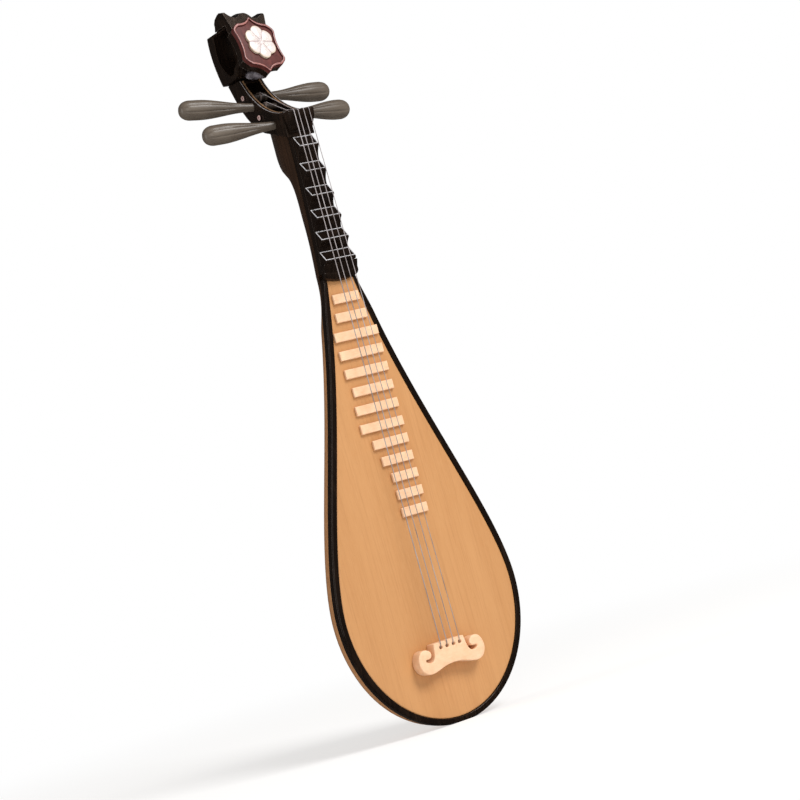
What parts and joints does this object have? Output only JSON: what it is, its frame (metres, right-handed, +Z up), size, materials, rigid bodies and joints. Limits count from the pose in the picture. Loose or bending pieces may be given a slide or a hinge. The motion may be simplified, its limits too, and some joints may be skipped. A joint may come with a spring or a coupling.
{
  "type": "pipa lute miniature",
  "caption": "Desk-size pear-shaped lute with a bent-back peg box, turning side pegs, raised neck stops, block frets, scroll-ended bridge and a carved head with a shield plaque.",
  "frame": {"origin": "on the small flat at the tail end of the body, in the middle of back_and_neck's share of it, on the centre line", "axes": "+Z up the body and neck towards the head, -Y out of the soundboard towards the player's audience, +X to the viewer's right"},
  "size_m": [0.0862, 0.0445, 0.3041],
  "materials": {
    "brown_lacquer": "glossy dark brown lacquer over wood",
    "black_lacquer": "glossy near-black lacquer over wood",
    "tan_wood": "satin oiled softwood with fine straight grain",
    "bare_wood": "unfinished softwood",
    "cream_wood": "smooth sanded pale wood",
    "silver_line": "thin pale grey painted line",
    "tan_line": "thin tan edging",
    "peg_wood": "satin grey-brown wood",
    "red_wood": "satin dark red-brown wood",
    "red_edge": "satin pinkish red-brown wood",
    "shell_white": "polished off-white with faint lilac engraving",
    "string_wire": "fine grey wound wire"
  },
  "bodies": {
    "instrument": {"back_and_neck": "brown_lacquer", "bass_bar_lower": "bare_wood", "bass_bar_upper": "bare_wood", "bridge": "cream_wood", "fingerboard": "black_lacquer", "flower_inlay": "shell_white", "fret_1": "cream_wood", "fret_10": "cream_wood", "fret_11": "cream_wood", "fret_12": "cream_wood", "fret_13": "cream_wood", "fret_2": "cream_wood", "fret_3": "cream_wood", "fret_4": "cream_wood", "fret_5": "cream_wood", "fret_6": "cream_wood", "fret_7": "cream_wood", "fret_8": "cream_wood", "fret_9": "cream_wood", "head_block": "black_lacquer", "head_crown": "black_lacquer", "head_curl": "black_lacquer", "neck_end_ridge": "black_lacquer", "nut": "black_lacquer", "peg_box": "black_lacquer", "peg_box_edging_left": "tan_line", "peg_box_edging_right": "tan_line", "peg_box_outline_left": "silver_line", "peg_box_outline_right": "silver_line", "plaque": "red_wood", "plaque_border": "red_edge", "rim_binding": "black_lacquer", "sound_post": "bare_wood", "soundboard": "tan_wood", "string_1": "string_wire", "string_2": "string_wire", "string_3": "string_wire", "string_4": "string_wire", "string_tail_lower": "string_wire", "string_tail_upper": "string_wire", "xiang_1": "black_lacquer", "xiang_2": "black_lacquer", "xiang_3": "black_lacquer", "xiang_4": "black_lacquer", "xiang_5": "black_lacquer", "xiang_6": "black_lacquer", "xiang_line_1": "silver_line", "xiang_line_2": "silver_line", "xiang_line_3": "silver_line", "xiang_line_4": "silver_line", "xiang_line_5": "silver_line", "xiang_line_6": "silver_line"},
    "peg_upper_left_turning": {"peg_upper_left": "peg_wood", "winding_upper_left": "string_wire"},
    "peg_lower_left_turning": {"peg_lower_left": "peg_wood", "winding_lower_left": "string_wire"},
    "peg_upper_right_turning": {"peg_upper_right": "peg_wood", "winding_upper_right": "string_wire"},
    "peg_lower_right_turning": {"peg_lower_right": "peg_wood", "winding_lower_right": "string_wire"}
  },
  "joints": [
    {"name": "turn_peg_upper_left", "type": "hinge", "parent": "instrument", "child": "peg_upper_left_turning", "pos_m": [-0.0065, 0.0142, 0.2632], "axis": [-0.9686, 0.1995, 0.148], "continuous": true},
    {"name": "turn_peg_lower_left", "type": "hinge", "parent": "instrument", "child": "peg_lower_left_turning", "pos_m": [-0.0065, 0.0013, 0.2517], "axis": [-0.9729, 0.2268, 0.046], "continuous": true},
    {"name": "turn_peg_upper_right", "type": "hinge", "parent": "instrument", "child": "peg_upper_right_turning", "pos_m": [0.006, 0.0184, 0.2676], "axis": [0.997, 0.0669, -0.0401], "continuous": true},
    {"name": "turn_peg_lower_right", "type": "hinge", "parent": "instrument", "child": "peg_lower_right_turning", "pos_m": [0.0065, 0.0044, 0.2558], "axis": [0.9908, 0.1326, -0.0279], "continuous": true}
  ]
}
